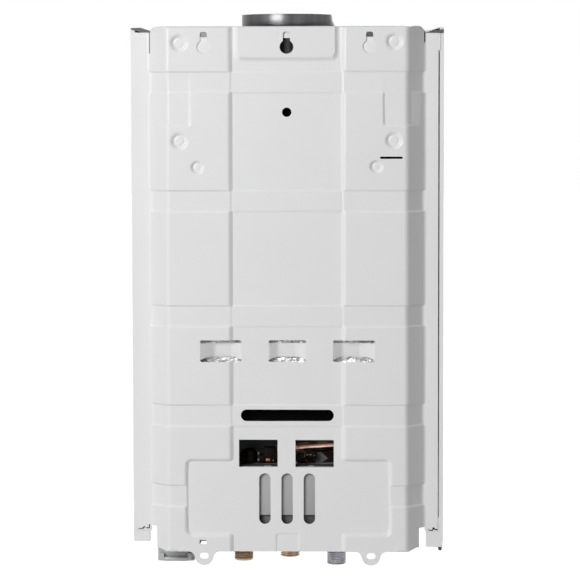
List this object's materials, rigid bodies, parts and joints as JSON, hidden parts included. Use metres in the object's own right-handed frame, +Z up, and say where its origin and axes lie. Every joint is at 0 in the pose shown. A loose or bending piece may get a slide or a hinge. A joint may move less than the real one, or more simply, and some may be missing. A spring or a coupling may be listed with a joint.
{
  "type": "portable propane water heater",
  "caption": "Wall-hung gas water heater: white pressed back panel and cover, round flue collar, copper exchanger, burner, linked valves, knobs and battery box.",
  "frame": {"origin": "centre of the middle keyhole on the wall plane", "axes": "+Z up, +Y from the wall to the front of the heater, +X to the right when the back is seen from the wall side"},
  "size_m": [0.336, 0.1756, 0.605],
  "materials": {
    "white_paint": "gloss white stove enamel",
    "flue_steel": "plated steel",
    "galvanised": "galvanised sheet",
    "steel": "bright steel",
    "zinc_plate": "zinc plate",
    "copper": "bare copper",
    "brass": "machined brass",
    "brass_brown": "tarnished brass",
    "cast_zinc": "die casting",
    "foil": "foil faced wool",
    "black_plastic": "matt black",
    "black_gloss": "gloss black",
    "grey_plastic": "light grey",
    "battery_grey": "grey",
    "rubber": "black",
    "glass": "heat proof glass",
    "lens": "dark display lens",
    "ceramic": "glazed white",
    "cell_jacket": "plain dark jacket",
    "wire": "black sleeve"
  },
  "bodies": {
    "chassis": {"back_panel": "white_paint", "battery_box": "battery_grey", "battery_bracket": "galvanised", "battery_cells": "cell_jacket", "battery_contacts": "steel", "battery_lead": "wire", "burner_bars": "steel", "burner_tray": "galvanised", "chamber_brackets": "galvanised", "cold_inlet_fitting": "zinc_plate", "cold_pipe": "copper", "combustion_chamber": "copper", "connection_shelf": "galvanised", "control_strip": "black_gloss", "corner_clip": "rubber", "diaphragm": "rubber", "diaphragm_cover": "brass", "display_lens": "lens", "drain_plug": "black_plastic", "electrode_bracket": "galvanised", "electrode_rods": "steel", "electrodes": "ceramic", "exchanger_fins": "copper", "exchanger_tubes": "copper", "flue_collar": "flue_steel", "flue_hood": "galvanised", "front_cover": "white_paint", "gas_inlet_fitting": "brass", "gas_manifold": "galvanised", "gas_nozzles": "brass", "gas_riser": "copper", "gas_valve_body": "cast_zinc", "hangers": "galvanised", "heat_shield": "foil", "hot_outlet_fitting": "brass_brown", "hot_pipe": "copper", "igniter_box": "grey_plastic", "igniter_posts": "brass", "ignition_lead": "wire", "locknuts": "brass", "micro_switch": "black_plastic", "overheat_cutoff": "black_plastic", "spindle_glands": "steel", "spring_cap": "brass", "stem_spring": "steel", "switch_bracket": "galvanised", "water_valve_body": "brass", "window_frame": "steel", "window_pane": "glass"},
    "gas_control": {"gas_spindle": "brass", "gas_knob": "black_plastic"},
    "season_control": {"season_spindle": "brass", "season_knob": "black_plastic"},
    "water_control": {"water_spindle": "brass", "water_knob": "black_plastic"},
    "stem": {"valve_stem": "steel", "stem_seal": "rubber"},
    "lever": {"switch_lever": "steel"},
    "door": {"battery_door": "battery_grey", "door_contact": "steel"}
  },
  "joints": [
    {"name": "gas_knob_turn", "type": "hinge", "parent": "chassis", "child": "gas_control", "pos_m": [-0.074, 0.106, -0.457], "axis": [0, 1, 0], "range_deg": [0, 240]},
    {"name": "season_knob_turn", "type": "hinge", "parent": "chassis", "child": "season_control", "pos_m": [0, 0.106, -0.457], "axis": [0, 1, 0], "range_deg": [0, 180]},
    {"name": "water_knob_turn", "type": "hinge", "parent": "chassis", "child": "water_control", "pos_m": [0.074, 0.106, -0.457], "axis": [0, 1, 0], "range_deg": [0, 270]},
    {"name": "stem_slide", "type": "slide", "parent": "chassis", "child": "stem", "axis": [0, 0, 1], "range_m": [0, 0.003], "stiffness_N_per_m": 600, "springref_m": -0.004, "deforming": ["stem_spring"]},
    {"name": "lever_swing", "type": "hinge", "parent": "chassis", "child": "lever", "pos_m": [0.0452, 0.064, -0.4861], "axis": [1, 0, 0], "range_deg": [0, 5.73]},
    {"name": "battery_door_hinge", "type": "hinge", "parent": "chassis", "child": "door", "pos_m": [-0.1235, 0.0385, -0.557], "axis": [-1, 0, 0], "range_deg": [0, 100]}
  ],
  "couplings": [
    {"joint": "lever_swing", "follows": "stem_slide", "rad_per_m": 33.3}
  ]
}
